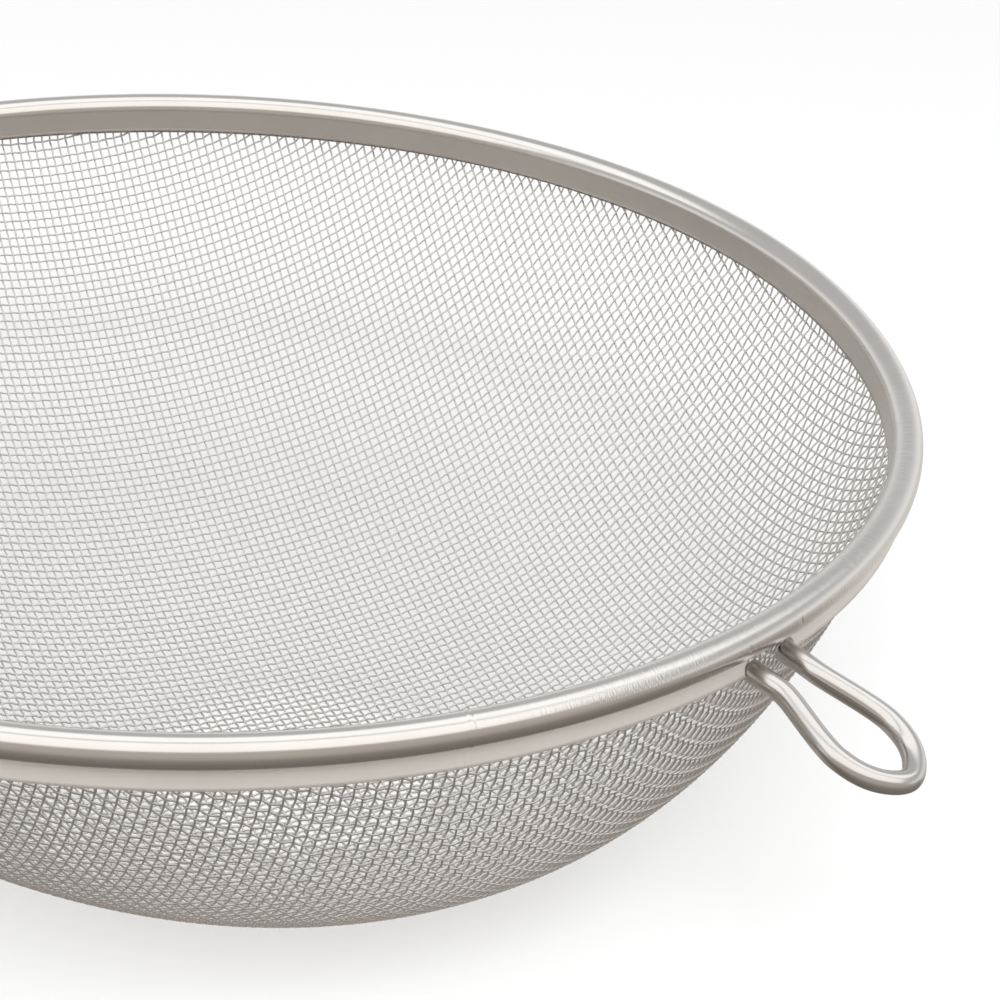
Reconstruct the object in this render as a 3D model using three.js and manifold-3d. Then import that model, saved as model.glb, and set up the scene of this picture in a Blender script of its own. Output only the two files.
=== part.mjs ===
// A round-bottom kitchen strainer: a rolled steel rim, a wire-cloth bowl, a wire rest loop and a handle.
// Millimetres, +Z up. The origin is the centre of the bowl's flat base, +X points to the rest loop.
import * as THREE from "three";
import { mergeVertices } from "three/addons/utils/BufferGeometryUtils.js";
import Module from "manifold-3d";

// Rim: a strip of sheet rolled round a bead, with an inner wall and an outer skirt.
const rimRadius = 127; // axis to the bead's centre
const beadRadius = 2.8; // outside of the bead
const stripThickness = 0.5;
const innerWallDrop = 5; // the bead's centre to the foot of the inner wall
const skirtDrop = 8; // the bead's centre to the foot of the skirt
const pinchSlack = 0.37; // air on each side of the cloth between wall and skirt

// Bowl: wire cloth taken as a skin as thick as two crossing wires, with a coarse grid for the fine mesh.
const clothThickness = 0.9;
const clothTuck = 1.5; // the bead's centre to the cloth's top edge, inside the roll
const bowlDepth = 75.5; // the bead's centre to the underside of the base
const bowlLean = 28; // the base's centre lies this far off the rim's axis, towards the loop
const baseCut = 0.5; // depth of the flat that the bowl stands on
const flankPower = 0.75; // how full the bowl's sides are
const floorPower = 2.05; // how steeply the floor runs up into the sides
const gridCells = 12; // openings across the bowl
const ribShare = 0.23; // share of a cell's width that stays, as wire does in the cloth's own mesh
const gridMargin = 3; // width of the closed border below the skirt, seen from above
const hubRadius = 9; // closed patch in the middle of the base

// Rest loop: a teardrop of wire that slopes down from the rim.
const loopWire = 3.4; // diameter
const loopNeck = 8.8; // centre to centre of the legs where they leave the rim
const loopNeckLength = 7;
const loopBelly = 14.6; // centre to centre at the widest place
const loopBellyAt = 20.5; // the bead's centre to the widest place
const loopReach = 29.7; // the bead's centre to the tip of the wire's centre line
const loopSlope = 18.5; // degrees down

// Handle: a wire fork, a tube with two plugs and a hanging eye.
const forkWire = 3.4; // diameter
const forkSpread = 30; // centre to centre of the legs at the rim
const forkRoot = 10; // straight length of the legs from the rim
const forkNeck = 5.2; // centre to centre of the wires in the tube
const forkLength = 46; // the bead's centre to the front of the plug
const forkGrip = 30; // length of the fork's wires behind the plug's front
const handleRise = 6; // degrees up
const tubeRadius = 8;
const tubeWall = 0.8;
const tubeLength = 112;
const plugLip = 2.5; // length of a plug in front of the tube's end
const plugDepth = 9; // length of a plug inside the tube
const eyeWire = 2.6; // diameter
const eyeNeck = 4.6; // centre to centre of the eye's legs
const eyeBelly = 15; // centre to centre at the widest place
const eyeBellyAt = 11; // the plug's face to the widest place
const eyeReach = 18; // the plug's face to the tip of the wire's centre line
const eyeRoot = 6; // length of the legs inside the plug

const seatGap = 0.3; // between pieces that touch

const curlEnd = -75; // degrees round the bead where its sheet turns down into the skirt

// Fineness of the faceted surfaces
const roundSides = 72; // sides of the rim and the bowl
const rollSteps = 6; // steps in each half of the bead's roll
const bowlSteps = 11; // steps from the bowl's floor to its side
const wireSides = 10;
const teardropSteps = 44;
const forkSteps = 60;
const tubeSides = 24;
const cornerSteps = 3; // steps in a notch's rounded corner
const halfTurn = Math.PI;
const degree = Math.PI / 180;

// Materials
const rimSteel = new THREE.MeshStandardMaterial({ color: 0xc9c4bf, roughness: 0.25, metalness: 1 });
const clothSteel = new THREE.MeshStandardMaterial({ color: 0xb8b4b0, roughness: 0.45, metalness: 1 });
const wireSteel = new THREE.MeshStandardMaterial({ color: 0xcfcac5, roughness: 0.2, metalness: 1 });
const gripSteel = new THREE.MeshStandardMaterial({ color: 0xc4c0bb, roughness: 0.35, metalness: 1 });

const wasm = await Module();
wasm.setup();

// A closed geometry as a solid, for cutting.
function solidOf(geometry) {
  const bare = geometry.clone();
  bare.deleteAttribute("normal");
  bare.deleteAttribute("uv");
  const merged = mergeVertices(bare);
  return new wasm.Manifold(
    new wasm.Mesh({
      numProp: 3,
      vertProperties: new Float32Array(merged.attributes.position.array),
      triVerts: new Uint32Array(merged.index.array),
    }),
  );
}

// A solid as a geometry again.
function geometryOf(solid) {
  const mesh = solid.getMesh();
  const made = new THREE.BufferGeometry();
  made.setAttribute("position", new THREE.BufferAttribute(new Float32Array(mesh.vertProperties), 3));
  made.setIndex(new THREE.BufferAttribute(new Uint32Array(mesh.triVerts), 1));
  made.computeVertexNormals();
  return made;
}

// The first geometry with all the others cut out of it.
function cutAway(geometry, cutters) {
  let solid = solidOf(geometry);
  for (const cutter of cutters) solid = solid.subtract(solidOf(cutter));
  return geometryOf(solid);
}

function namedMesh(name, geometry, material) {
  const mesh = new THREE.Mesh(geometry, material);
  mesh.name = name;
  return mesh;
}

// A profile of (radius, height) points turned round the Z axis.
function turned(points, sides) {
  return new THREE.LatheGeometry(points, sides).rotateX(halfTurn / 2);
}

// A round bar along a curve.
function bar(curve, diameter, steps) {
  const section = new THREE.Shape().absarc(0, 0, diameter / 2, 0, 2 * halfTurn);
  return new THREE.ExtrudeGeometry(section, {
    extrudePath: curve,
    steps,
    curveSegments: wireSides / 2,
    bevelEnabled: false,
  });
}

// The outline of a strip of sheet that follows a line of points.
function stripOutline(line, thickness) {
  const side = (sign) =>
    line.map((point, index) => {
      const before = line[Math.max(index - 1, 0)];
      const after = line[Math.min(index + 1, line.length - 1)];
      const along = after.clone().sub(before).normalize();
      const across = new THREE.Vector2(-along.y, along.x);
      return point.clone().addScaledVector(across, (sign * thickness) / 2);
    });
  return [...side(1), ...side(-1).reverse()];
}

// Rim places that other pieces take
const wallLine = beadRadius - stripThickness / 2; // the bead's centre to the middle of its sheet
const wallOuter = rimRadius - beadRadius + stripThickness; // outer face of the inner wall
const clothMiddle = wallOuter + pinchSlack + clothThickness / 2;
const clothOuter = clothMiddle + clothThickness / 2;
const skirtMiddle = clothOuter + pinchSlack + stripThickness / 2;
const curlFoot = beadRadius + stripThickness / 2; // the bead's centre to the underside of its curl
// A leg's centre line passes this far below the bead's centre, and its inner end lies this far out from it.
const legDrop = (wire, slope) => curlFoot + seatGap + wire / 2 / Math.cos(slope * degree);
const legStart = (wire, slope) =>
  clothOuter + seatGap + (wire / 2) * Math.abs(Math.sin(slope * degree)) - rimRadius;

// One notch through the skirt, wide enough for two legs, with rounded upper corners.
function skirtNotch(legSpan, wire) {
  const half = legSpan / 2 + wire / 2 + 2 * seatGap;
  const corner = wire / 2;
  const foot = -skirtDrop - stripThickness;
  const top = -curlFoot;
  const outline = new THREE.Shape();
  outline.moveTo(-half, foot);
  outline.lineTo(half, foot);
  outline.lineTo(half, top - corner);
  outline.absarc(half - corner, top - corner, corner, 0, halfTurn / 2);
  outline.absarc(corner - half, top - corner, corner, halfTurn / 2, halfTurn);
  const notch = new THREE.ExtrudeGeometry(outline, {
    depth: rimRadius,
    curveSegments: cornerSteps,
    bevelEnabled: false,
  });
  notch.rotateX(halfTurn / 2).rotateZ(halfTurn / 2).translate(beadRadius, 0, 0);
  const keptCore = new THREE.CylinderGeometry(clothMiddle, clothMiddle, 4 * skirtDrop, roundSides);
  return cutAway(notch, [keptCore.rotateX(halfTurn / 2)]);
}

function rimBand() {
  const line = [
    new THREE.Vector2(-wallLine, -innerWallDrop),
    new THREE.Vector2(-wallLine, -innerWallDrop / 2),
  ];
  const roll = new THREE.Path().absarc(0, 0, wallLine, halfTurn, curlEnd * degree, true);
  line.push(...roll.getPoints(rollSteps));
  const skirt = skirtMiddle - rimRadius;
  line.push(new THREE.Vector2(skirt + stripThickness, -beadRadius));
  line.push(new THREE.Vector2(skirt, -beadRadius - stripThickness));
  line.push(new THREE.Vector2(skirt, -skirtDrop));
  const outline = stripOutline(line, stripThickness).map((p) => new THREE.Vector2(p.x + rimRadius, p.y));
  outline.push(outline[0].clone());
  const ring = turned(outline.reverse(), roundSides);
  const handleNotch = skirtNotch(forkSpread, forkWire).rotateZ(halfTurn);
  return cutAway(ring, [skirtNotch(loopNeck, loopWire), handleNotch]);
}

// The bowl's skin at one side of the cloth: radius and height below the bead's centre, from foot to top.
function bowlSide(offset) {
  const fullDepth = bowlDepth + baseCut - skirtDrop;
  const floor = offset > 0 ? -bowlDepth : clothThickness - bowlDepth;
  const flatTurn = Math.acos((1 - baseCut / fullDepth) ** (1 / floorPower));
  const flatRadius = clothMiddle * Math.sin(flatTurn) ** flankPower;
  const points = [new THREE.Vector2(0, floor), new THREE.Vector2(flatRadius, floor)];
  for (let i = 1; i <= bowlSteps; i++) {
    const turn = (i / bowlSteps) * (halfTurn / 2);
    const radius = clothMiddle * Math.sin(turn) ** flankPower + offset;
    const height = -skirtDrop - fullDepth * Math.cos(turn) ** floorPower - offset * Math.cos(turn);
    if (turn > flatTurn && height > floor) points.push(new THREE.Vector2(radius, height));
  }
  points.push(new THREE.Vector2(clothMiddle + offset, -clothTuck));
  return points;
}

// Upright square cutters in rows, trimmed to the bowl's round and kept off the middle of the base.
function clothOpenings() {
  const pitch = (2 * clothMiddle) / gridCells;
  const opening = pitch * (1 - ribShare);
  const reach = clothMiddle - gridMargin;
  const drum = (radius) => {
    const upright = new THREE.CylinderGeometry(radius, radius, 4 * bowlDepth, roundSides);
    return solidOf(upright.rotateX(halfTurn / 2));
  };
  const ring = drum(reach).subtract(drum(hubRadius));
  const openings = [];
  for (let row = 0; row < gridCells; row++) {
    for (let column = 0; column < gridCells; column++) {
      const x = (column + 0.5 - gridCells / 2) * pitch;
      const y = (row + 0.5 - gridCells / 2) * pitch;
      const cutter = new THREE.BoxGeometry(opening, opening, 2 * bowlDepth).translate(x, y, -bowlDepth);
      const nearCorner = Math.hypot(Math.abs(x) - opening / 2, Math.abs(y) - opening / 2);
      const wellInside = nearCorner < reach - opening / 2;
      if (wellInside) openings.push(geometryOf(solidOf(cutter).intersect(ring)));
    }
  }
  return openings;
}

function meshBowl() {
  const outside = bowlSide(clothThickness / 2);
  const inside = bowlSide(-clothThickness / 2);
  const skin = cutAway(turned([...outside, ...inside.reverse()], roundSides), clothOpenings());
  const places = skin.attributes.position;
  for (let i = 0; i < places.count; i++) {
    const below = Math.max(0, -skirtDrop - places.getZ(i));
    places.setX(i, places.getX(i) + (bowlLean * below) / (bowlDepth - skirtDrop));
  }
  skin.computeVertexNormals();
  return skin;
}

// A teardrop of wire in the XY plane, with its legs' ends at x = start.
function teardrop({ start, neck, neckLength, belly, bellyAt, reach, wire }) {
  const shoulderFullness = 0.7; // width between belly and tip, against the belly's
  const shoulder = new THREE.Vector2((bellyAt + 2 * reach) / 3, (shoulderFullness * belly) / 2);
  const half = [
    [start, neck / 2],
    [neckLength / 2, neck / 2],
    [neckLength, neck / 2],
    [bellyAt, belly / 2],
    [shoulder.x, shoulder.y],
  ];
  const points = half.map(([x, y]) => new THREE.Vector3(x, y, 0));
  const back = half.map(([x, y]) => new THREE.Vector3(x, -y, 0)).reverse();
  const tip = new THREE.Vector3(reach, 0, 0);
  const curve = new THREE.CatmullRomCurve3([...points, tip, ...back], false, "centripetal");
  return bar(curve, wire, teardropSteps);
}

function restLoop() {
  const shape = { neck: loopNeck, neckLength: loopNeckLength, belly: loopBelly, bellyAt: loopBellyAt };
  const start = legStart(loopWire, loopSlope);
  return teardrop({ ...shape, start, reach: loopReach, wire: loopWire });
}

// The fork's wire: two legs that draw together into the handle and join in a bend there.
function handleFork() {
  const start = legStart(forkWire, handleRise);
  const bendRadius = forkNeck / 2;
  const bendAt = forkLength + forkGrip - bendRadius;
  const leg = (side) => [
    new THREE.Vector3(start, (side * forkSpread) / 2, 0),
    new THREE.Vector3(forkRoot, (side * forkSpread) / 2, 0),
    new THREE.Vector3((forkRoot + forkLength) / 2, (side * (forkSpread + forkNeck)) / 4, 0),
    new THREE.Vector3(forkLength - forkRoot / 2, (side * forkNeck) / 2, 0),
    new THREE.Vector3(forkLength, (side * forkNeck) / 2, 0),
    new THREE.Vector3(forkLength + forkGrip / 2, (side * forkNeck) / 2, 0),
    new THREE.Vector3(bendAt, (side * forkNeck) / 2, 0),
  ];
  const tip = new THREE.Vector3(bendAt + bendRadius, 0, 0);
  const curve = new THREE.CatmullRomCurve3([...leg(1), tip, ...leg(-1).reverse()], false, "centripetal");
  return bar(curve, forkWire, forkSteps);
}

// A round piece about the X axis, from (place along X, radius) points.
function turnedAlongX(points, sides) {
  const profile = points.map(([along, radius]) => new THREE.Vector2(radius, along));
  return new THREE.LatheGeometry(profile, sides).rotateZ(-halfTurn / 2);
}

const tubeFront = forkLength + plugLip + seatGap;
const tubeBack = tubeFront + tubeLength;
const tubeBore = tubeRadius - tubeWall;
const plugRadius = tubeBore - seatGap;
const eyeFace = tubeBack + seatGap + plugLip;

function handleTube() {
  const wall = [
    [tubeFront, tubeBore],
    [tubeFront, tubeRadius],
    [tubeBack, tubeRadius],
    [tubeBack, tubeBore],
    [tubeFront, tubeBore],
  ];
  return turnedAlongX(wall, tubeSides);
}

// A plug with a rounded lip, from its face into the tube: inward is +1 for the front plug, -1 for the rear.
function plugBody(face, inward) {
  const lip = face + inward * plugLip;
  const end = lip + inward * (seatGap + plugDepth);
  const points = [
    [face, 0],
    [face, tubeRadius - plugLip],
    [face + (inward * plugLip) / 3, tubeRadius - plugLip / 3],
    [lip, tubeRadius],
    [lip, plugRadius],
    [end, plugRadius],
    [end, 0],
  ];
  return turnedAlongX(inward > 0 ? points : points.reverse(), tubeSides);
}

// A straight round hole along X for a wire.
function wireHole(from, to, across, wire) {
  const hole = new THREE.CylinderGeometry(wire / 2 + seatGap, wire / 2 + seatGap, to - from, tubeSides);
  return hole.rotateZ(-halfTurn / 2).translate((from + to) / 2, across, 0);
}

function frontPlug() {
  const to = tubeFront + plugDepth + plugLip;
  const holes = [1, -1].map((side) => wireHole(forkLength - plugLip, to, (side * forkNeck) / 2, forkWire));
  return cutAway(plugBody(forkLength, 1), holes);
}

function endPlug() {
  const from = eyeFace - eyeRoot - seatGap;
  const holes = [1, -1].map((side) => wireHole(from, eyeFace + plugLip, (side * eyeNeck) / 2, eyeWire));
  return cutAway(plugBody(eyeFace, -1), holes);
}

function hangingEye() {
  const shape = { neck: eyeNeck, neckLength: plugLip / 2, belly: eyeBelly, bellyAt: eyeBellyAt };
  const eye = teardrop({ ...shape, start: -eyeRoot, reach: eyeReach, wire: eyeWire });
  return eye.translate(eyeFace, 0, 0);
}

// Assembly
const strainer = new THREE.Group();

const rimFrame = new THREE.Group();
rimFrame.position.set(-bowlLean, 0, bowlDepth);
rimFrame.add(namedMesh("rim_band", rimBand(), rimSteel));
rimFrame.add(namedMesh("mesh_bowl", meshBowl(), clothSteel));
strainer.add(rimFrame);

const loopFrame = new THREE.Group();
loopFrame.position.set(rimRadius, 0, -legDrop(loopWire, loopSlope));
loopFrame.rotation.y = loopSlope * degree;
loopFrame.add(namedMesh("rest_loop", restLoop(), wireSteel));
rimFrame.add(loopFrame);

const handleSide = new THREE.Group();
handleSide.rotation.z = halfTurn;
rimFrame.add(handleSide);
const handleFrame = new THREE.Group();
handleFrame.position.set(rimRadius, 0, -legDrop(forkWire, handleRise));
handleFrame.rotation.y = -handleRise * degree;
handleFrame.add(namedMesh("handle_fork", handleFork(), wireSteel));
handleFrame.add(namedMesh("handle_front_plug", frontPlug(), gripSteel));
handleFrame.add(namedMesh("handle_tube", handleTube(), gripSteel));
handleFrame.add(namedMesh("handle_end_plug", endPlug(), gripSteel));
handleFrame.add(namedMesh("hanging_eye", hangingEye(), wireSteel));
handleSide.add(handleFrame);

export default strainer;
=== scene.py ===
"""A round-bottom wire-mesh strainer on a white floor, seen from above its rim."""
import math

import bpy
import numpy as np
from mathutils import Matrix, Vector


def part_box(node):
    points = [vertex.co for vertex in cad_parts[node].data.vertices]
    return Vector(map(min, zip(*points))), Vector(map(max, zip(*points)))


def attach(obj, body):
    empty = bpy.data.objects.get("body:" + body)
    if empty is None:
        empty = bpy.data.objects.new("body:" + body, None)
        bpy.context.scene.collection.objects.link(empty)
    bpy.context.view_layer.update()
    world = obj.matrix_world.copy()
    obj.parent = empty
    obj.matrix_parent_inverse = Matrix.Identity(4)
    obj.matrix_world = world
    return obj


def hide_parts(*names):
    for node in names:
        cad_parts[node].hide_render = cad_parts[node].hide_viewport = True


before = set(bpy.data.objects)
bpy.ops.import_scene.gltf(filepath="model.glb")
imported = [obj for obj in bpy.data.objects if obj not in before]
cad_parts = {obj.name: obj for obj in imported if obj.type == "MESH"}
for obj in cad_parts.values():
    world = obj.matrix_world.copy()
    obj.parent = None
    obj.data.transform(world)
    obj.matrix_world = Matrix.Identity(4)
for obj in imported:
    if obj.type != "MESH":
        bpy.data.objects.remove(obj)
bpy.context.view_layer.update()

MM = 0.001
TURN = 2 * math.pi
TINY = 1e-12

# Bars and curves
BAR_SIDES = 28
TURNED_SIDES = 64
SPAN_STEPS = 60
END_ROUNDING = 0.3
END_BREAK = 0.3

# Rim, in millimetres from the bead's centre: outward and up
RIM_RADIUS = 127.0
BEAD_RADIUS = 2.8
STRIP = 0.5
INNER_WALL_FOOT = -4.75
INNER_WALL_TOP = -0.2
SKIRT_FOOT = -6.1
SKIRT_FACE = -0.16
SKIRT_FLARE = 1.1
GROOVE_STEP = 0.02
LEAST_SKIRT = 0.1
NOTCH_DROP = 0.8
RIM_STEPS = 540
WALL_STEPS = 6
BEAD_STEPS = 48
SKIRT_STEPS = 6

# Finer rim steps about a notch's edge, the weld and the pits
NOTCH_SPAN = (-2.2, 0.2)
NOTCH_STEPS = 40
NOTCH_EDGE = 0.004
WELD_SPAN = 2
WELD_STEPS = 33
PIT_SPAN = 3
PIT_STEPS = 25

# Marks on the rim: weld seam, two weld pits beside the loop and a slight bend
WELD_BEARING = math.radians(-26.3)
WELD_WIDTH = 0.7
WELD_HEIGHT = 0.045
WELD_SQUARENESS = 4
PIT_BEARINGS = (math.radians(-3.75), math.radians(2.06))
PIT_TURN = math.radians(8)
PIT_WIDTH = 0.22
PIT_LENGTH = 0.4
PIT_DEPTH = 0.15
SAG = 1.5
SAG_BEARING = math.radians(42)
SAG_WIDTH = math.radians(35)
SAG_FADE = 6

# Bowl of wire cloth, in millimetres
CLOTH_RADIUS = 125.52
BOWL_TOP = -6.1
BOWL_DEPTH = 75.5
BASE_CUT = 0.5
BOWL_LEAN = 28.0  # how far its deepest place lies from the rim's axis, towards the loop
FLANK_POWER = 0.75
FLOOR_POWER = 2.05
WIRE = 0.38
PITCH = 1.72
DRAW = 0.65  # the share of its depth that the bowl had before its cloth was stretched
WEAVE_BEARING = math.radians(-25.5)
WIRE_SIDES = 6
STEPS_PER_CELL = 3
CLOTH_TOP = 1.033  # where the wires end, inside the rim, when the skirt's foot is 1
WIRES_PER_PIECE = 40
LEAST_CROSSINGS = 3
WIRE_UV = (0.05, 0.95)

# Search for the crossings: lengths in shares of the cloth's radius, and rounds
NET_REACH = 1.5
NET_MARGIN = 0.08
SLOPE_STEP = 1e-4
LONGEST_MOVE = 0.02
LEAST_SLOPE = 1e-6
START_ROUNDS = 60
AXIS_ROUNDS = 14
FILL_ROUNDS = 10

# Rest loop, in millimetres
LOOP_WIRE = 3.75
LOOP_NECK = 8.8
LOOP_NECK_LENGTH = 7.0
LOOP_BELLY = 14.6
LOOP_BELLY_AT = 20.5
LOOP_REACH = 29.7
LOOP_SLOPE = math.radians(20.1)
LEG_DROP = 4.75
LEG_START = -0.19
LEG_BEND = 1.1
LEG_BEND_LENGTH = 4.5
SHOULDER = 0.35
LOOP_STEPS = 160

# Handle, in millimetres
FORK_WIRE = 3.4
FORK_SPREAD = 30.0
FORK_ROOT = 10.0
FORK_NECK = 5.2
FORK_LENGTH = 46.0
FORK_GRIP = 30.0
FORK_DROP = 5.06
FORK_START = -0.55
FORK_STEPS = 240
HANDLE_RISE = math.radians(6)
TUBE_RADIUS = 8.0
TUBE_WALL = 0.8
TUBE_LENGTH = 112.0
TUBE_EDGE = 0.3
TUBE_MARGIN = 1.0
TUBE_RINGS = 12
PLUG_LIP = 2.5
EYE_WIRE = 2.6
EYE_NECK = 4.6
EYE_BELLY = 15.0
EYE_BELLY_AT = 11.0
EYE_REACH = 18.0
EYE_ROOT = 6.0
SEAT_GAP = 0.3

# Camera, about the rim's centre
VIEW_BEARING = math.radians(45.7)
VIEW_DISTANCE = 520.0
VIEW_ELEVATION = math.radians(25.635)
VIEW_YAW = math.radians(6.028)
VIEW_PITCH = math.radians(-2.668)
VIEW_ROLL = math.radians(3.939)
FOCAL_PIXELS = 2887.5
IMAGE_PIXELS = 1000
SENSOR = 36.0
CLIP_START = 0.01

# Steel: its two tones, and the stretch and scale of its streaks
RIM_TONES = ((0.66, 0.635, 0.61), (0.74, 0.715, 0.69))
RIM_STREAKS = ((800, 1.5, 1), 3.0)
MESH_TONES = ((0.7, 0.685, 0.67), (0.78, 0.765, 0.75))
MESH_STREAKS = ((200, 200, 1), 1.0)
WIRE_TONES = ((0.6, 0.58, 0.56), (0.68, 0.66, 0.64))
WIRE_STREAKS = ((6, 80, 1), 3.0)
GRIP_TONES = ((0.66, 0.64, 0.62), (0.74, 0.72, 0.7))
GRIP_STREAKS = ((4, 240, 1), 3.0)
# The skirt's tones are painted light: far lighter than the rim's steel, standing in for the light the
# skirt catches.
SKIRT_PAINTED_LIGHT_TONES = ((0.86, 0.835, 0.805), (0.94, 0.915, 0.885))
SKIRT_METAL = 0.9
SKIRT_ROUGHNESS = 0.75
CLOUD_SCALE = 60.0
CLOUD_DETAIL = 3.0
STREAK_DETAIL = 6.0
STREAK_RANGE = (0.3, 0.7)
ROUGHNESS_RANGE = (0.85, 1.15)
BUMP_DISTANCE = 0.0001

# Where round the rim its brush strokes are strongest, and how they fade away from there
BRUSHED_AT = 0.522
BRUSHED_SPAN = (0.06, 0.15)
BRUSHED_FADE = 0.15

# Studio, in metres and radiance
BOX_DISTANCE = 1.3
BOX_WIDTH = 3.2
BOX_RADIANCE = 0.85
FRONT_ELEVATION = math.radians(52.5)
FRONT_SPREAD = math.radians(49)
TOP_ELEVATION = math.radians(101)
TOP_SPREAD = math.radians(36)
KEY_RADIANCE = 9.0
KEY_SIZE = 1.2
KEY_FRONT = 1.8
KEY_UP = 1.9
# The card is a glowing sheet on the floor that only the steel mirrors, so a painted reflection: dark
# as painted shade in a ring under the rim, pale as a painted patch of lit floor behind and to the
# right, and a warm room tone further off.
CARD_RISE = 0.0001
CARD_FRONT = (-0.35, 5.0)
CARD_SIDE = (-5.0, 5.0)
CARD_PAINTED_SHADE_FROM = (0.09, 0.13)
CARD_PAINTED_SHADE_TO = (0.14, 0.45)
CARD_LIT_FLOOR_FRONT = (-0.02, 0.09)
CARD_LIT_FLOOR_RIGHT = (0.06, 0.12)
CARD_PAINTED_SHADE = (0.2, 0.18, 0.16)
CARD_FAR = (0.5, 0.455, 0.41)
CARD_PAINTED_LIT_FLOOR = (0.8, 0.77, 0.74)
ROOM = (0.55, 0.51, 0.465)
ROOM_FROM = (0.25, 0.55)
WALL_RISE = (0.15, 0.4)
WALL_TONES = (1.0, 0.6)
FILL = (0.32, 0.32, 0.32)
WHITE = (1.0, 1.0, 1.0)
FLOOR_HALF = 6.0
FLOOR_COLOUR = (0.98, 0.98, 0.98, 1)
FLOOR_ROUGHNESS = 0.9
FLOOR_WHITE_FROM = (0.35, 0.9)
FLOOR_WHITE = (0.3, 1.0)

# Sockets of a colour mix node
MIX_FACTOR = 0
MIX_FIRST = 6
MIX_SECOND = 7
MIX_RESULT = 2

rim_low, rim_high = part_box("rim_band")
rim_x = (rim_low.x + rim_high.x) / 2
rim_y = (rim_low.y + rim_high.y) / 2
RIM_AXIS = np.array([rim_x, rim_y, BOWL_DEPTH * MM])


# Geometry helpers

def mesh_object(name, points, faces, uvs, material):
    """A smooth mesh object from points in metres, four-cornered faces and one UV per point."""
    points = np.asarray(points, np.float32)
    faces = np.asarray(faces, np.int32)
    mesh = bpy.data.meshes.new(name)
    mesh.vertices.add(len(points))
    mesh.vertices.foreach_set("co", points.ravel())
    corners = faces.shape[1]
    mesh.loops.add(faces.size)
    mesh.loops.foreach_set("vertex_index", faces.ravel())
    mesh.polygons.add(len(faces))
    mesh.polygons.foreach_set("loop_start", np.arange(0, faces.size, corners, dtype=np.int32))
    mesh.polygons.foreach_set("use_smooth", np.ones(len(faces), bool))
    layer = mesh.uv_layers.new(name="OFBake")
    layer.data.foreach_set("uv", np.asarray(uvs, np.float32)[faces.ravel()].ravel())
    mesh.update()
    mesh.validate()
    mesh.materials.append(material)
    piece = bpy.data.objects.new(name, mesh)
    bpy.context.scene.collection.objects.link(piece)
    return piece


def grid_faces(rows, columns, wrap_rows, wrap_columns, first=0):
    """Quads between neighbouring points of a rows by columns grid."""
    i = np.arange(rows if wrap_rows else rows - 1)
    j = np.arange(columns if wrap_columns else columns - 1)
    i, j = np.meshgrid(i, j, indexing="ij")
    i, j = i.ravel(), j.ravel()
    over, up = (i + 1) % rows, (j + 1) % columns
    corners = [(i, j), (over, j), (over, up), (i, up)]
    return np.stack([first + row * columns + column for row, column in corners], -1)


def tube_faces(rows, sides, first=0):
    """Quads of a tube of rings, each of an even number of points, with both ends closed."""
    k = np.arange(1, sides - 2, 2)
    start = np.stack([np.zeros_like(k), k, k + 1, k + 2], -1) + first
    end = start[:, ::-1] + (rows - 1) * sides
    return np.vstack([grid_faces(rows, sides, False, True, first), start, end])


def unit(vectors):
    """The vectors at length one."""
    return vectors / np.maximum(np.linalg.norm(vectors, axis=-1, keepdims=True), TINY)


def smooth_path(points, steps):
    """Points at even spacing along a centripetal Catmull-Rom curve."""
    p = np.asarray(points, float)
    p = np.vstack([2 * p[0] - p[1], p, 2 * p[-1] - p[-2]])
    gaps = np.linalg.norm(np.diff(p, axis=0), axis=1)
    knots = np.concatenate([[0], np.cumsum(np.sqrt(gaps))])
    fine = []
    for k in range(1, len(p) - 2):
        t = np.linspace(knots[k], knots[k + 1], SPAN_STEPS, endpoint=k == len(p) - 3)[:, None]
        t0, t1, t2, t3 = knots[k - 1:k + 3]
        a1 = ((t1 - t) * p[k - 1] + (t - t0) * p[k]) / (t1 - t0)
        a2 = ((t2 - t) * p[k] + (t - t1) * p[k + 1]) / (t2 - t1)
        a3 = ((t3 - t) * p[k + 1] + (t - t2) * p[k + 2]) / (t3 - t2)
        b1 = ((t2 - t) * a1 + (t - t0) * a2) / (t2 - t0)
        b2 = ((t3 - t) * a2 + (t - t1) * a3) / (t3 - t1)
        fine.append(((t2 - t) * b1 + (t - t1) * b2) / (t2 - t1))
    fine = np.vstack(fine)
    run = np.concatenate([[0], np.cumsum(np.linalg.norm(np.diff(fine, axis=0), axis=1))])
    at = np.linspace(0, run[-1], steps + 1)
    return np.stack([np.interp(at, run, fine[:, k]) for k in range(3)], -1)


def bar_uvs(rows, sides):
    """One UV per point of a bar of rings, along and round it."""
    u = np.repeat(np.linspace(0, 1, rows), sides)
    v = np.tile(np.linspace(0, 1, sides), rows)
    return np.stack([u, v], -1)


def round_bar(name, path, diameter, material, place):
    """A round wire along a flat path in the local XY plane, with softly rounded ends."""
    path = np.asarray(path, float)
    along = unit(np.gradient(path, axis=0))
    up = np.array([0.0, 0.0, 1.0])
    side = unit(np.cross(up, along))
    radius = diameter / 2
    end = radius * END_ROUNDING
    corner = end * END_BREAK
    last = len(path) - 1
    rings = [(path[0], 0, radius - end), (path[0] + along[0] * corner, 0, radius - corner)]
    rings += [(path[k], k, radius) for k in range(1, last)]
    rings += [(path[last] - along[last] * corner, last, radius - corner)]
    rings += [(path[last], last, radius - end)]
    turn = np.linspace(0, TURN, BAR_SIDES, endpoint=False)
    points = [
        centre + r * (np.cos(turn)[:, None] * side[k] + np.sin(turn)[:, None] * up)
        for centre, k, r in rings
    ]
    placed = place(np.array(points).reshape(-1, 3))
    faces = tube_faces(len(rings), BAR_SIDES)[:, ::-1]
    return mesh_object(name, placed, faces, bar_uvs(len(rings), BAR_SIDES), material)


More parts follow.
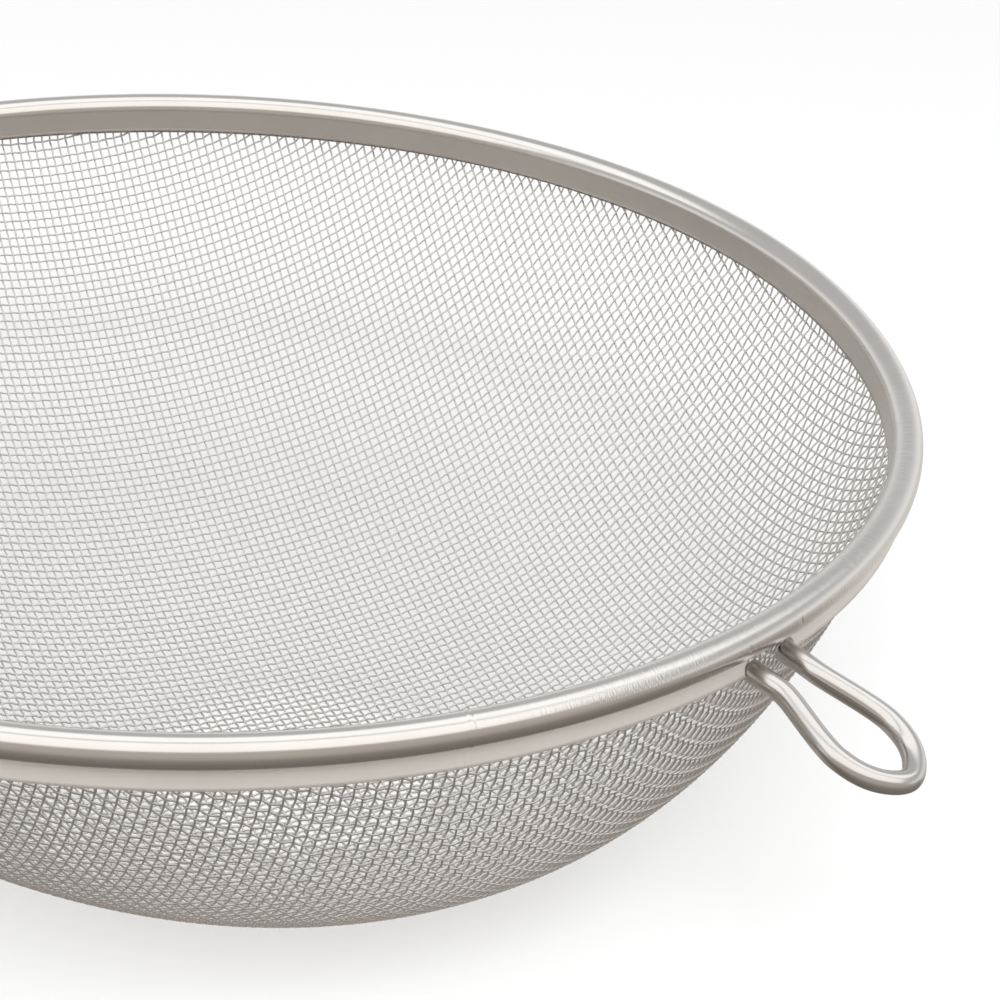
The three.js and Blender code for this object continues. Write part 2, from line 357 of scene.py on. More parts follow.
def turned_bar(name, profile, material, place):
    """A closed profile of (along, radius) points turned about the local X axis."""
    profile = np.asarray(profile, float)
    turn = np.linspace(0, TURN, TURNED_SIDES, endpoint=False)
    ring = np.stack([np.zeros(TURNED_SIDES), np.cos(turn), np.sin(turn)], -1)
    along = np.array([1.0, 0, 0])
    points = profile[:, 1, None, None] * ring[None] + profile[:, 0, None, None] * along
    placed = place(points.reshape(-1, 3))
    faces = grid_faces(len(profile), TURNED_SIDES, True, True)[:, ::-1]
    return mesh_object(name, placed, faces, bar_uvs(len(profile), TURNED_SIDES), material)


def rim_sag(bearing):
    """How far the rim, which is a little bent, hangs below its plane."""
    turned = np.mod(bearing - SAG_BEARING + math.pi, TURN) - math.pi
    return SAG * np.exp(-(turned / SAG_WIDTH) ** 2)


def on_rim(bearing, drop, tilt):
    """Places local points (out, across, up) in millimetres at a bearing of the rim, tilted down."""
    def place(points):
        ahead, across, above = points.T
        out = RIM_RADIUS + ahead * math.cos(tilt) + above * math.sin(tilt)
        up = -drop - rim_sag(bearing) - ahead * math.sin(tilt) + above * math.cos(tilt)
        x = out * math.cos(bearing) - across * math.sin(bearing)
        y = out * math.sin(bearing) + across * math.cos(bearing)
        return RIM_AXIS + MM * np.stack([x, y, up], -1)
    return place


# Materials

def new_material(name):
    """A material with its node tree and its shader."""
    material = bpy.data.materials.new(name)
    material.use_nodes = True
    tree = material.node_tree
    shader = tree.nodes["Principled BSDF"]
    return material, tree, shader


def noise_node(tree, coordinates, scale, detail, stretch=(1, 1, 1)):
    """A noise texture over the given coordinate socket, stretched along its axes."""
    mapping = tree.nodes.new("ShaderNodeMapping")
    mapping.inputs["Scale"].default_value = stretch
    tree.links.new(coordinates, mapping.inputs["Vector"])
    noise = tree.nodes.new("ShaderNodeTexNoise")
    noise.inputs["Scale"].default_value = scale
    noise.inputs["Detail"].default_value = detail
    tree.links.new(mapping.outputs["Vector"], noise.inputs["Vector"])
    return noise.outputs["Fac"]


def blend(tree, factor, first, second):
    """Mixes two colours, each a socket or three numbers, by a factor socket."""
    node = tree.nodes.new("ShaderNodeMix")
    node.data_type = "RGBA"
    for index, value in ((MIX_FIRST, first), (MIX_SECOND, second)):
        if isinstance(value, tuple):
            node.inputs[index].default_value = (*value, 1)
        else:
            tree.links.new(value, node.inputs[index])
    tree.links.new(factor, node.inputs[MIX_FACTOR])
    return node.outputs[MIX_RESULT]


def combine(tree, operation, *values):
    """Joins values, each a socket or a number, by a sum, product or the like."""
    node = tree.nodes.new("ShaderNodeMath")
    node.operation = operation
    for socket, value in zip(node.inputs, values):
        if isinstance(value, float):
            socket.default_value = value
        else:
            tree.links.new(value, socket)
    return node.outputs[0]


def length_of(tree, vector):
    """The length of a vector socket."""
    node = tree.nodes.new("ShaderNodeVectorMath")
    node.operation = "LENGTH"
    tree.links.new(vector, node.inputs[0])
    return node.outputs["Value"]


def parts_of(tree, vector):
    """The X, Y and Z sockets of a vector socket."""
    node = tree.nodes.new("ShaderNodeSeparateXYZ")
    tree.links.new(vector, node.inputs[0])
    return node.outputs


def ramp_between(tree, factor, low, high, low_value, high_value):
    """Maps a factor between low and high to values between low_value and high_value."""
    node = tree.nodes.new("ShaderNodeMapRange")
    node.inputs["From Min"].default_value = low
    node.inputs["From Max"].default_value = high
    node.inputs["To Min"].default_value = low_value
    node.inputs["To Max"].default_value = high_value
    tree.links.new(factor, node.inputs["Value"])
    return node.outputs["Result"]


def cloudy(tree, shader, place, tones):
    """Gives a shader a cloudy tone between two colours."""
    cloud = noise_node(tree, place.outputs["Object"], CLOUD_SCALE, CLOUD_DETAIL)
    tree.links.new(blend(tree, cloud, *tones), shader.inputs["Base Color"])


def brush_strength(tree, place, bump):
    """Bump that is strong at one place round the rim and fades away from it."""
    round_rim = parts_of(tree, place.outputs["UV"])["X"]
    away = combine(tree, "ABSOLUTE", combine(tree, "SUBTRACT", round_rim, BRUSHED_AT))
    return ramp_between(tree, away, *BRUSHED_SPAN, bump, bump * BRUSHED_FADE)


def steel(name, tones, roughness, bump, streaks, brushed=False):
    """Stainless steel with cloudy tone and rolled or drawn streaks along one UV direction."""
    material, tree, shader = new_material(name)
    shader.inputs["Metallic"].default_value = 1.0
    place = tree.nodes.new("ShaderNodeTexCoord")
    cloudy(tree, shader, place, tones)
    stretch, scale = streaks
    streak = noise_node(tree, place.outputs["UV"], scale, STREAK_DETAIL, stretch)
    smooth, coarse = (roughness * share for share in ROUGHNESS_RANGE)
    rough = ramp_between(tree, streak, *STREAK_RANGE, smooth, coarse)
    tree.links.new(rough, shader.inputs["Roughness"])
    if bump:
        relief = tree.nodes.new("ShaderNodeBump")
        relief.inputs["Strength"].default_value = bump
        relief.inputs["Distance"].default_value = BUMP_DISTANCE
        if brushed:
            tree.links.new(brush_strength(tree, place, bump), relief.inputs["Strength"])
        tree.links.new(streak, relief.inputs["Height"])
        tree.links.new(relief.outputs["Normal"], shader.inputs["Normal"])
    return material


def skirt_steel_painted_lighter():
    """The matte back of the rolled strip, which shows on the skirt. Its rough finish is real; its
    much lighter tone is painted light, standing in for the light the skirt catches.
    """
    material, tree, shader = new_material("skirt_steel_painted_lighter")
    shader.inputs["Metallic"].default_value = SKIRT_METAL
    shader.inputs["Roughness"].default_value = SKIRT_ROUGHNESS
    cloudy(tree, shader, tree.nodes.new("ShaderNodeTexCoord"), SKIRT_PAINTED_LIGHT_TONES)
    return material


rim_steel = steel("rim_steel", RIM_TONES, roughness=0.2, bump=0.7, streaks=RIM_STREAKS, brushed=True)
mesh_steel = steel("mesh_steel", MESH_TONES, roughness=0.45, bump=0.0, streaks=MESH_STREAKS)
wire_steel = steel("wire_steel", WIRE_TONES, roughness=0.2, bump=0.05, streaks=WIRE_STREAKS)
grip_steel = steel("grip_steel", GRIP_TONES, roughness=0.3, bump=0.1, streaks=GRIP_STREAKS)
matte_painted_lighter_steel = skirt_steel_painted_lighter()


# Rim band

def skirt_foot(across, half_width, corner, top):
    """Height of the skirt's lower edge at a distance across from a notch's middle."""
    y = np.abs(across)
    inner = half_width - corner
    round_part = top - (corner - np.sqrt(np.maximum(corner ** 2 - (y - inner) ** 2, 0)))
    foot = np.where(y <= inner, top, round_part)
    return np.where(y >= half_width, SKIRT_FOOT, foot)


def rim_face(radius, skirt, foot):
    """One face of the strip's section for each skirt foot: inner wall, bead, groove and skirt."""
    groove = -math.sqrt(radius ** 2 - skirt ** 2)
    curl_end = math.atan2(groove, skirt)
    wall = [(-radius, z) for z in np.linspace(INNER_WALL_FOOT, INNER_WALL_TOP, WALL_STEPS)]
    turns = np.linspace(math.pi, curl_end, BEAD_STEPS)
    bead = [(radius * math.cos(turn), radius * math.sin(turn)) for turn in turns]
    skirt_top = groove - GROOVE_STEP
    fixed = np.array(wall + bead + [(skirt, skirt_top)])
    share = np.linspace(0, 1, SKIRT_STEPS + 1)[1:]
    bottom = np.minimum(foot, groove - LEAST_SKIRT)[:, None]
    skirt_z = skirt_top + share[None] * (bottom - skirt_top)
    flare = SKIRT_FLARE * (groove - skirt_z) / (groove - SKIRT_FOOT)
    hanging = np.stack([skirt + flare, skirt_z], -1)
    return np.concatenate([np.repeat(fixed[None], len(foot), 0), hanging], 1)


def weld_pits(bearing, face):
    """Depth of the two small pits that the loop's welds leave on the bead."""
    turn = np.arctan2(face[..., 1], face[..., 0]) - PIT_TURN
    down = np.exp(-(BEAD_RADIUS * turn / PIT_LENGTH) ** 2)
    across = [RIM_RADIUS * (bearing - pit) / PIT_WIDTH for pit in PIT_BEARINGS]
    along = sum(np.exp(-distance ** 2) for distance in across)
    return PIT_DEPTH * along[:, None] * down


def rim_bearings(loop_half, fork_half):
    """Bearings of the rim's sections, closer together at the notches, the weld and the pits."""
    bearings = [np.linspace(-math.pi, math.pi, RIM_STEPS, endpoint=False)]
    for middle, half in ((0.0, loop_half), (math.pi, fork_half)):
        for side in (-1, 1):
            edge = middle + side * math.asin(half / RIM_RADIUS)
            bearings.append(edge + side * np.linspace(*NOTCH_SPAN, NOTCH_STEPS) / RIM_RADIUS)
            bearings.append(np.array([edge + side * NOTCH_EDGE / RIM_RADIUS]))
    weld = np.linspace(-WELD_SPAN, WELD_SPAN, WELD_STEPS) * WELD_WIDTH
    bearings.append(WELD_BEARING + weld / RIM_RADIUS)
    pits = np.linspace(-PIT_SPAN, PIT_SPAN, PIT_STEPS) * PIT_WIDTH
    bearings += [bearing + pits / RIM_RADIUS for bearing in PIT_BEARINGS]
    return np.unique(np.mod(np.concatenate(bearings) + math.pi, TURN) - math.pi)


def rim_band():
    """The rolled strip with its notches, weld and pits, matte and painted lighter on the skirt."""
    notch_top = -BEAD_RADIUS - STRIP / 2 - NOTCH_DROP
    loop_half = LOOP_NECK / 2 + LOOP_WIRE / 2 + SEAT_GAP
    fork_half = FORK_SPREAD / 2 + FORK_WIRE / 2 + 2 * SEAT_GAP
    bearing = rim_bearings(loop_half, fork_half)
    across = RIM_RADIUS * np.sin(bearing)
    corner = LOOP_WIRE / 2
    at_loop = skirt_foot(across, loop_half, corner, notch_top)
    at_fork = skirt_foot(across, fork_half, corner, notch_top)
    foot = np.where(np.cos(bearing) > 0, at_loop, at_fork)
    outer = rim_face(BEAD_RADIUS, SKIRT_FACE, foot)
    inner = rim_face(BEAD_RADIUS - STRIP, SKIRT_FACE - STRIP, foot)[:, ::-1]
    along = unit(np.gradient(outer, axis=1))
    normal = np.stack([-along[..., 1], along[..., 0]], -1)
    from_weld = RIM_RADIUS * (np.mod(bearing - WELD_BEARING + math.pi, TURN) - math.pi)
    ridge = WELD_HEIGHT * np.exp(-(from_weld / (WELD_WIDTH / 2)) ** WELD_SQUARENESS)
    relief = ridge[:, None] - weld_pits(bearing, outer)
    section = np.concatenate([outer + normal * relief[..., None], inner], 1)
    rows, columns = section.shape[:2]
    radius = RIM_RADIUS + section[..., 0]
    x = radius * np.cos(bearing)[:, None]
    y = radius * np.sin(bearing)[:, None]
    z = section[..., 1] - rim_sag(bearing)[:, None]
    points = RIM_AXIS + MM * np.stack([x, y, z], -1)
    faces = grid_faces(rows, columns, True, True)[:, ::-1]
    u = np.repeat((bearing + math.pi) / TURN, columns)
    v = np.tile(np.linspace(0, 1, columns), rows)
    piece = mesh_object("rim_roll", points.reshape(-1, 3), faces, np.stack([u, v], -1), rim_steel)
    # The skirt gets the matte steel, which is painted lighter.
    piece.data.materials.append(matte_painted_lighter_steel)
    edge = WALL_STEPS + BEAD_STEPS
    step = np.arange(len(faces)) % columns
    on_skirt = (step >= edge) & (step < columns - edge - 1)
    piece.data.polygons.foreach_set("material_index", on_skirt.astype(np.int32))
    return piece


# Wire cloth: a net of equal-sided cells laid on a shallower bowl, then drawn down

def bowl_point(uv):
    """Bowl surface, in millimetres from the rim's centre. The unit circle of uv is its upper edge."""
    size = np.linalg.norm(uv, axis=-1)
    inside = np.minimum(size, 1.0)
    beyond = np.maximum(size, 1.0)
    fall = np.maximum(1 - inside ** (2 / FLANK_POWER), 0) ** (FLOOR_POWER / 2)
    depth = BOWL_DEPTH + BASE_CUT + BOWL_TOP
    x = BOWL_LEAN * fall + CLOTH_RADIUS * uv[..., 0] / beyond
    y = CLOTH_RADIUS * uv[..., 1] / beyond
    z = BOWL_TOP - depth * fall + (beyond - 1) * CLOTH_RADIUS
    z = z - rim_sag(np.arctan2(uv[..., 1], uv[..., 0])) * inside ** SAG_FADE
    return np.stack([x, y, z], -1)


def shallow_point(uv):
    """The bowl before its cloth was drawn down to the full depth, which stretched the steep parts."""
    return bowl_point(uv) * np.array([1.0, 1.0, DRAW])


def tangents(surface, uv):
    """Slopes of a surface along u and along v."""
    du, dv = np.array([SLOPE_STEP, 0]), np.array([0, SLOPE_STEP])
    along_u = (surface(uv + du) - surface(uv - du)) / (2 * SLOPE_STEP)
    along_v = (surface(uv + dv) - surface(uv - dv)) / (2 * SLOPE_STEP)
    return along_u, along_v


def dot(a, b):
    """Scalar products of vectors in pairs."""
    return (a * b).sum(-1)


def newton(uv, residual, rounds):
    """Moves uv until both values of residual vanish, which also gives their slopes along u and v."""
    for _ in range(rounds):
        (f1, f2), (a, b, c, d) = residual(uv)
        det = a * d - b * c
        det = np.where(np.abs(det) < LEAST_SLOPE, LEAST_SLOPE, det)
        move = np.stack([(f2 * b - f1 * d) / det, (f1 * c - f2 * a) / det], -1)
        size = np.linalg.norm(move, axis=-1, keepdims=True)
        uv = uv + move * np.minimum(1, LONGEST_MOVE / np.maximum(size, TINY))
    return uv


def drop_outside(uv):
    """Leaves out the crossings well above the cloth's upper edge."""
    uv[np.linalg.norm(uv, axis=1) > CLOTH_TOP + NET_MARGIN] = np.nan
    return uv


def axis_wire(direction, count):
    """Crossings along the wire that runs under the rim's axis in one direction."""
    start = np.zeros(2)
    for _ in range(START_ROUNDS):
        start[0] -= bowl_point(start)[0] / CLOTH_RADIUS
    side = np.array([-direction[1], direction[0], 0.0])
    wire = [start]
    for _ in range(count):
        before = shallow_point(wire[-1])

        def residual(uv):
            p, (du, dv) = shallow_point(uv), tangents(shallow_point, uv)
            gap = p - before
            values = (dot(p, side), dot(gap, gap) - PITCH ** 2)
            return values, (dot(du, side), dot(dv, side), 2 * dot(gap, du), 2 * dot(gap, dv))

        guess = wire[-1] + direction * PITCH / CLOTH_RADIUS
        wire.append(newton(guess, residual, AXIS_ROUNDS))
    return drop_outside(np.array(wire))


def fill_quadrant(first, second):
    """Crossings between two axis wires, each one pitch from its two earlier neighbours."""
    count = len(first)
    net = np.full((count, count, 2), np.nan)
    net[:, 0] = first
    net[0, :] = second
    for total in range(2, 2 * count - 1):
        i = np.arange(max(1, total - count + 1), min(total, count))
        j = total - i
        known = np.isfinite(net[i - 1, j, 0] + net[i, j - 1, 0])
        i, j = i[known], j[known]
        if not len(i):
            continue
        left, below = shallow_point(net[i - 1, j]), shallow_point(net[i, j - 1])

        def residual(uv):
            p, (du, dv) = shallow_point(uv), tangents(shallow_point, uv)
            a, b = p - left, p - below
            values = (dot(a, a) - PITCH ** 2, dot(b, b) - PITCH ** 2)
            return values, (2 * dot(a, du), 2 * dot(a, dv), 2 * dot(b, du), 2 * dot(b, dv))

        guess = net[i - 1, j] + net[i, j - 1] - net[i - 1, j - 1]
        net[i, j] = drop_outside(newton(guess, residual, FILL_ROUNDS))
    return net


def weave_net():
    """The whole cloth's crossings as uv, with the crossing under the rim's axis in the middle."""
    count = int(NET_REACH * CLOTH_RADIUS / PITCH)
    c, s = math.cos(WEAVE_BEARING), math.sin(WEAVE_BEARING)
    first, second = np.array([c, s]), np.array([-s, c])
    ways = (1, -1)
    i_wires = {way: axis_wire(way * first, count) for way in ways}
    j_wires = {way: axis_wire(way * second, count) for way in ways}
    net = np.full((2 * count + 1, 2 * count + 1, 2), np.nan)
    steps = np.arange(count + 1)
    for i_way in ways:
        for j_way in ways:
            part = fill_quadrant(i_wires[i_way], j_wires[j_way])
            net[np.ix_(count + i_way * steps, count + j_way * steps)] = part
    return net


def wire_run(crossings, normals, signs):
    """Centre line of one crimped wire through its crossings, over and under by turns."""
    share = np.arange(STEPS_PER_CELL) / STEPS_PER_CELL
    lift = signs[:-1, None] * WIRE / 2 * np.cos(math.pi * share)[None]

    def between(q):
        return q[:-1, None] * (1 - share)[None, :, None] + q[1:, None] * share[None, :, None]

    line = between(crossings) + unit(between(normals)) * lift[..., None]
    last = crossings[-1] + normals[-1] * signs[-1] * WIRE / 2
    return np.vstack([line.reshape(-1, 3), last[None]])


def wire_tube(line, normals):
    """Rings of points round one crimped wire."""
    along = unit(np.gradient(line, axis=0))
    side = unit(np.cross(along, normals))
    up = np.cross(side, along)
    turn = np.linspace(0, TURN, WIRE_SIDES, endpoint=False)
    ring = np.cos(turn)[None, :, None] * side[:, None] + np.sin(turn)[None, :, None] * up[:, None]
    return line[:, None] + ring * WIRE / 2


def cloth_pieces():
    """All wires of the cloth, as a few objects for each of their two directions."""
    net = weave_net()
    size = np.linalg.norm(net, axis=-1)
    kept = np.isfinite(size) & (size <= CLOTH_TOP)
    crossings = np.where(kept[..., None], net, 0.0)
    points = bowl_point(crossings)
    normals = unit(np.cross(*tangents(bowl_point, crossings)))
    points[..., 2] = np.maximum(points[..., 2], WIRE - BOWL_DEPTH)
    count = net.shape[0]
    sign = 1 - 2 * (np.add.outer(np.arange(count), np.arange(count)) % 2)
    pieces = []
    for family, over in (("warp", 1), ("weft", -1)):
        runs = []
        for line in range(count):
            row = (slice(None), line) if family == "warp" else (line, slice(None))
            where = np.flatnonzero(kept[row])
            if len(where) < LEAST_CROSSINGS:
                continue
            part = slice(where[0], where[-1] + 1)
            run = wire_run(points[row][part], normals[row][part], over * sign[row][part])
            across = np.repeat(normals[row][part], STEPS_PER_CELL, 0)[:len(run)]
            runs.append(wire_tube(run, across))
        groups = math.ceil(len(runs) / WIRES_PER_PIECE)
        for index in range(groups):
            pieces.append(cloth_piece(f"cloth_{family}_{index + 1}", runs[index::groups]))
    return pieces


def cloth_piece(name, runs):
    """One object of many wires, each closed at its ends."""
    points, faces, uvs = [], [], []
    first = 0
    for index, rings in enumerate(runs):
        rows = len(rings)
        faces.append(tube_faces(rows, WIRE_SIDES, first))
        u = np.repeat(np.linspace(0, 1, rows), WIRE_SIDES)
        v = (index + np.tile(np.linspace(*WIRE_UV, WIRE_SIDES), rows)) / len(runs)
        uvs.append(np.stack([u, v], -1))
        points.append(rings.reshape(-1, 3))
        first += rows * WIRE_SIDES
    placed = RIM_AXIS + MM * np.vstack(points)
    return mesh_object(name, placed, np.vstack(faces), np.vstack(uvs), mesh_steel)


# Rest loop and handle

def mirrored(half, tip):
    """A flat line out along half, round the tip on the X axis and back."""
    out = [(x, y, 0) for x, y in half]
    back = [(x, -y, 0) for x, y in reversed(half)]
    return out + [(tip, 0, 0)] + back


def teardrop(start, neck, neck_length, belly, belly_at, reach):
    """Centre line of a wire teardrop whose legs start at x = start."""
    half = [
        (start, neck / 2),
        (neck_length / 2, neck / 2),
        (neck_length, neck / 2),
        (belly_at, belly / 2),
        ((belly_at + 2 * reach) / 3, SHOULDER * belly),
    ]
    return smooth_path(mirrored(half, reach), LOOP_STEPS)


def rest_loop():
    """The wire loop, whose legs bend down a little where they enter the rim."""
    path = teardrop(LEG_START, LOOP_NECK, LOOP_NECK_LENGTH, LOOP_BELLY, LOOP_BELLY_AT, LOOP_REACH)
    path[:, 2] = -LEG_BEND * np.exp(-(path[:, 0] / LEG_BEND_LENGTH) ** 2)
    place = on_rim(0.0, LEG_DROP, LOOP_SLOPE)
    return round_bar("rest_wire", path, LOOP_WIRE, wire_steel, place)


def handle_pieces():
    """The fork, the grip's tube and the hanging eye, opposite the rest loop."""
    place = on_rim(math.pi, FORK_DROP, -HANDLE_RISE)
    bend = FORK_NECK / 2
    bend_at = FORK_LENGTH + FORK_GRIP - bend
    half = [
        (FORK_START, FORK_SPREAD / 2),
        (FORK_ROOT, FORK_SPREAD / 2),
        ((FORK_ROOT + FORK_LENGTH) / 2, (FORK_SPREAD + FORK_NECK) / 4),
        (FORK_LENGTH - FORK_ROOT / 2, FORK_NECK / 2),
        (FORK_LENGTH, FORK_NECK / 2),
        (FORK_LENGTH + FORK_GRIP / 2, FORK_NECK / 2),
        (bend_at, FORK_NECK / 2),
    ]
    fork_path = smooth_path(mirrored(half, bend_at + bend), FORK_STEPS)
    fork = round_bar("fork_wire", fork_path, FORK_WIRE, wire_steel, place)
    front = FORK_LENGTH + PLUG_LIP + SEAT_GAP
    back = front + TUBE_LENGTH
    bore = TUBE_RADIUS - TUBE_WALL
    lip = TUBE_RADIUS - TUBE_EDGE
    tube_profile = [(front, bore), (front, lip), (front + TUBE_EDGE, TUBE_RADIUS)]
    middle = np.linspace(front + TUBE_MARGIN, back - TUBE_MARGIN, TUBE_RINGS)
    tube_profile += [(x, TUBE_RADIUS) for x in middle]
    tube_profile += [(back - TUBE_EDGE, TUBE_RADIUS), (back, lip), (back, bore)]
    tube = turned_bar("grip_tube", tube_profile, grip_steel, place)
    eye_path = teardrop(-EYE_ROOT, EYE_NECK, PLUG_LIP / 2, EYE_BELLY, EYE_BELLY_AT, EYE_REACH)
    eye_path = eye_path + np.array([back + SEAT_GAP + PLUG_LIP, 0, 0])
    eye = round_bar("eye_wire", eye_path, EYE_WIRE, wire_steel, place)
    return fork, tube, eye


rim = rim_band()
cloth = cloth_pieces()
loop = rest_loop()
fork, tube, eye = handle_pieces()
dressed = [
    (rim, "rim_band", "rim_steel"),
    (loop, "rest_loop", "wire_steel"),
    (fork, "handle_fork", "wire_steel"),
    (tube, "handle_tube", "grip_steel"),
    (eye, "hanging_eye", "wire_steel"),
]
dressed += [(piece, "mesh_bowl", "mesh_steel") for piece in cloth]
for piece, node, slot in dressed:
    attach(piece, "root")
    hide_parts(node)
for node in ("handle_front_plug", "handle_end_plug"):
    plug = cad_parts[node]
    plug.data.materials.clear()
    plug.data.materials.append(grip_steel)


# Floor, light and camera

def white_to_viewer(tree, lit, share):
    """Mixes a share of plain white into a surface for camera, mirror and see-through rays."""
    paths = tree.nodes.new("ShaderNodeLightPath")
    seen = paths.outputs["Is Camera Ray"]
    for name in ("Is Glossy Ray", "Is Transmission Ray"):
        seen = combine(tree, "MAXIMUM", seen, paths.outputs[name])
    part = combine(tree, "MULTIPLY", seen, share)
    white = tree.nodes.new("ShaderNodeEmission")
    white.inputs["Strength"].default_value = 1.0
    mix = tree.nodes.new("ShaderNodeMixShader")
    tree.links.new(part, mix.inputs[0])
    tree.links.new(lit, mix.inputs[1])
    tree.links.new(white.outputs[0], mix.inputs[2])
    return mix.outputs[0]


def floor():
    """A pale floor that keeps the part's shadow and turns to plain white further away."""
    material, tree, shader = new_material("floor_white")
    shader.inputs["Base Color"].default_value = FLOOR_COLOUR
    shader.inputs["Roughness"].default_value = FLOOR_ROUGHNESS
    shader.inputs["Specular IOR Level"].default_value = 0.0
    place = tree.nodes.new("ShaderNodeTexCoord")
    distance = length_of(tree, place.outputs["Object"])
    share = ramp_between(tree, distance, *FLOOR_WHITE_FROM, *FLOOR_WHITE)
    surface = white_to_viewer(tree, shader.outputs[0], share)
    tree.links.new(surface, tree.nodes["Material Output"].inputs["Surface"])
    uvs = [(0, 0), (1, 0), (1, 1), (0, 1)]
    corners = [(FLOOR_HALF * (2 * u - 1), FLOOR_HALF * (2 * v - 1), 0) for u, v in uvs]
    plane = mesh_object("floor", corners, [(0, 1, 2, 3)], uvs, material)


def studio(front, right, up):
    """A place in metres from the rim's centre: towards the camera, to its right and up."""
    c, s = math.cos(VIEW_BEARING), math.sin(VIEW_BEARING)
    return Vector(RIM_AXIS) + Vector((front * s + right * c, right * s - front * c, up))


def soft_box(name, centre, width, height, radiance):
    """A flat lamp that faces the rim's centre and looks this bright in a mirror."""
    data = bpy.data.lights.new(name, "AREA")
    data.shape = "RECTANGLE"
    data.size = width
    data.size_y = height
    data.energy = radiance * width * height * math.pi
    lamp = bpy.data.objects.new(name, data)
    back = (centre - studio(0, 0, 0)).normalized()
    across = (studio(0, 1, 0) - studio(0, 0, 0)).normalized()
    across = (across - across.dot(back) * back).normalized()
    pose = Matrix((across, back.cross(across), back)).transposed().to_4x4()
    pose.translation = centre
    lamp.matrix_world = pose
    bpy.context.scene.collection.objects.link(lamp)
    return lamp


def painted_reflection_card():
    """A glowing warm grey card on the floor that only the steel mirrors, a painted reflection:
    painted shade darkest under the rim, a pale painted patch of lit floor behind and to the right.
    """
    material, tree, shader = new_material("painted_reflection_card_glow")
    tree.nodes.remove(shader)
    place = tree.nodes.new("ShaderNodeTexCoord")
    split = parts_of(tree, place.outputs["UV"])
    radius = length_of(tree, place.outputs["UV"])
    # Painted shade: darkest in a ring under the rim, back to the far tone by the middle and further
    # out.
    below = ramp_between(tree, radius, *CARD_PAINTED_SHADE_FROM, 1.0, 0.0)
    beyond = ramp_between(tree, radius, *CARD_PAINTED_SHADE_TO, 0.0, 1.0)
    far = combine(tree, "MAXIMUM", below, beyond)
    # A pale painted patch of lit floor behind and to the right.
    behind = ramp_between(tree, split["Y"], *CARD_LIT_FLOOR_FRONT, 1.0, 0.0)
    aside = ramp_between(tree, split["X"], *CARD_LIT_FLOOR_RIGHT, 0.0, 1.0)
    pale = combine(tree, "MULTIPLY", behind, aside)
    colour = blend(tree, pale, blend(tree, far, CARD_PAINTED_SHADE, CARD_FAR), CARD_PAINTED_LIT_FLOOR)
    # The card glows rather than being lit, though it is no lamp.
    glow = tree.nodes.new("ShaderNodeEmission")
    tree.links.new(colour, glow.inputs["Color"])
    tree.links.new(glow.outputs[0], tree.nodes["Material Output"].inputs["Surface"])
    rise = CARD_RISE - BOWL_DEPTH * MM
    (back, front), (left, right) = CARD_FRONT, CARD_SIDE
    uvs = [(left, back), (right, back), (right, front), (left, front)]
    corners = [studio(forward, sideways, rise) for sideways, forward in uvs]
    card = mesh_object("painted_reflection_card", corners, [(0, 1, 2, 3)], uvs, material)
    card.visible_camera = False
    card.visible_diffuse = False
    card.visible_shadow = False


def light_box(name, elevation, spread):
    """A wide soft box before and above the rim's centre, at an elevation, that spans an angle."""
    centre = studio(BOX_DISTANCE * math.cos(elevation), 0, BOX_DISTANCE * math.sin(elevation))
    height = 2 * BOX_DISTANCE * math.tan(spread / 2)
    return soft_box(name, centre, BOX_WIDTH, height, BOX_RADIANCE)


def lights():
    """Two soft boxes that the steel mirrors and a key lamp that it doesn't."""
    light_box("front_box", FRONT_ELEVATION, FRONT_SPREAD)
    key = soft_box("key_box", studio(KEY_FRONT, 0, KEY_UP), KEY_SIZE, KEY_SIZE, KEY_RADIANCE)
    key.visible_glossy = False
    light_box("top_box", TOP_ELEVATION, TOP_SPREAD)


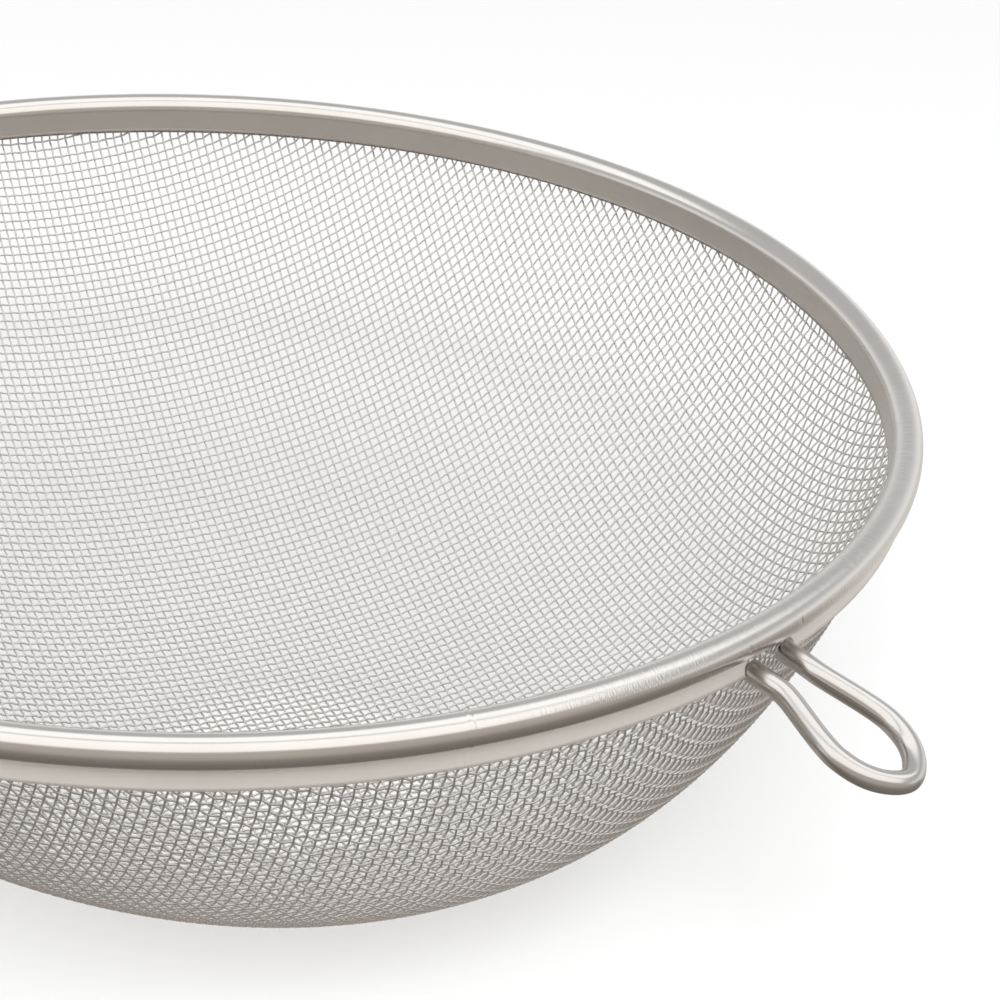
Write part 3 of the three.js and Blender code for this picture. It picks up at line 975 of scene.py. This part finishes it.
def surroundings():
    """White to the camera, an even fill, and a pale wall and dim room that show in the steel only."""
    world = bpy.data.worlds.new("studio")
    world.use_nodes = True
    bpy.context.scene.world = world
    tree = world.node_tree
    place = tree.nodes.new("ShaderNodeTexCoord")
    height = parts_of(tree, place.outputs["Generated"])["Z"]
    wall = ramp_between(tree, height, *WALL_RISE, *WALL_TONES)
    toward = tree.nodes.new("ShaderNodeVectorMath")
    toward.operation = "DOT_PRODUCT"
    toward.inputs[1].default_value = studio(1, 0, 0) - studio(0, 0, 0)
    tree.links.new(place.outputs["Generated"], toward.inputs[0])
    ahead = ramp_between(tree, toward.outputs["Value"], *ROOM_FROM, 0.0, 1.0)
    paths = tree.nodes.new("ShaderNodeLightPath")
    shown = blend(tree, ahead, wall, ROOM)
    shown = blend(tree, paths.outputs["Is Glossy Ray"], FILL, shown)
    shown = blend(tree, paths.outputs["Is Transmission Ray"], shown, WHITE)
    shown = blend(tree, paths.outputs["Is Camera Ray"], shown, WHITE)
    background = tree.nodes["Background"]
    background.inputs["Strength"].default_value = 1.0
    tree.links.new(shown, background.inputs["Color"])


def camera():
    """The photograph's camera, set about the rim's centre, then swung, tipped and rolled."""
    toward = Vector((0, -math.cos(VIEW_ELEVATION), math.sin(VIEW_ELEVATION)))
    ahead = -toward
    right = Vector((1, 0, 0))
    up = right.cross(ahead)
    look = math.cos(VIEW_PITCH) * math.cos(VIEW_YAW) * ahead
    look += math.cos(VIEW_PITCH) * math.sin(VIEW_YAW) * right + math.sin(VIEW_PITCH) * up
    level = look.cross(Vector((0, 0, 1))).normalized()
    above = level.cross(look)
    rolled_right = math.cos(VIEW_ROLL) * level + math.sin(VIEW_ROLL) * above
    rolled_up = -math.sin(VIEW_ROLL) * level + math.cos(VIEW_ROLL) * above
    turn = Matrix.Rotation(VIEW_BEARING, 4, "Z")
    pose = Matrix((rolled_right, rolled_up, -look)).transposed().to_4x4()
    pose.translation = toward * VIEW_DISTANCE * MM
    data = bpy.data.cameras.new("photo_camera")
    data.sensor_width = SENSOR
    data.lens = FOCAL_PIXELS * SENSOR / IMAGE_PIXELS
    data.clip_start = CLIP_START
    viewer = bpy.data.objects.new("photo_camera", data)
    bpy.context.scene.collection.objects.link(viewer)
    viewer.matrix_world = Matrix.Translation(Vector(RIM_AXIS)) @ turn @ pose
    bpy.context.scene.camera = viewer


floor()
painted_reflection_card()
lights()
surroundings()
camera()
bpy.context.scene.view_settings.view_transform = "Standard"
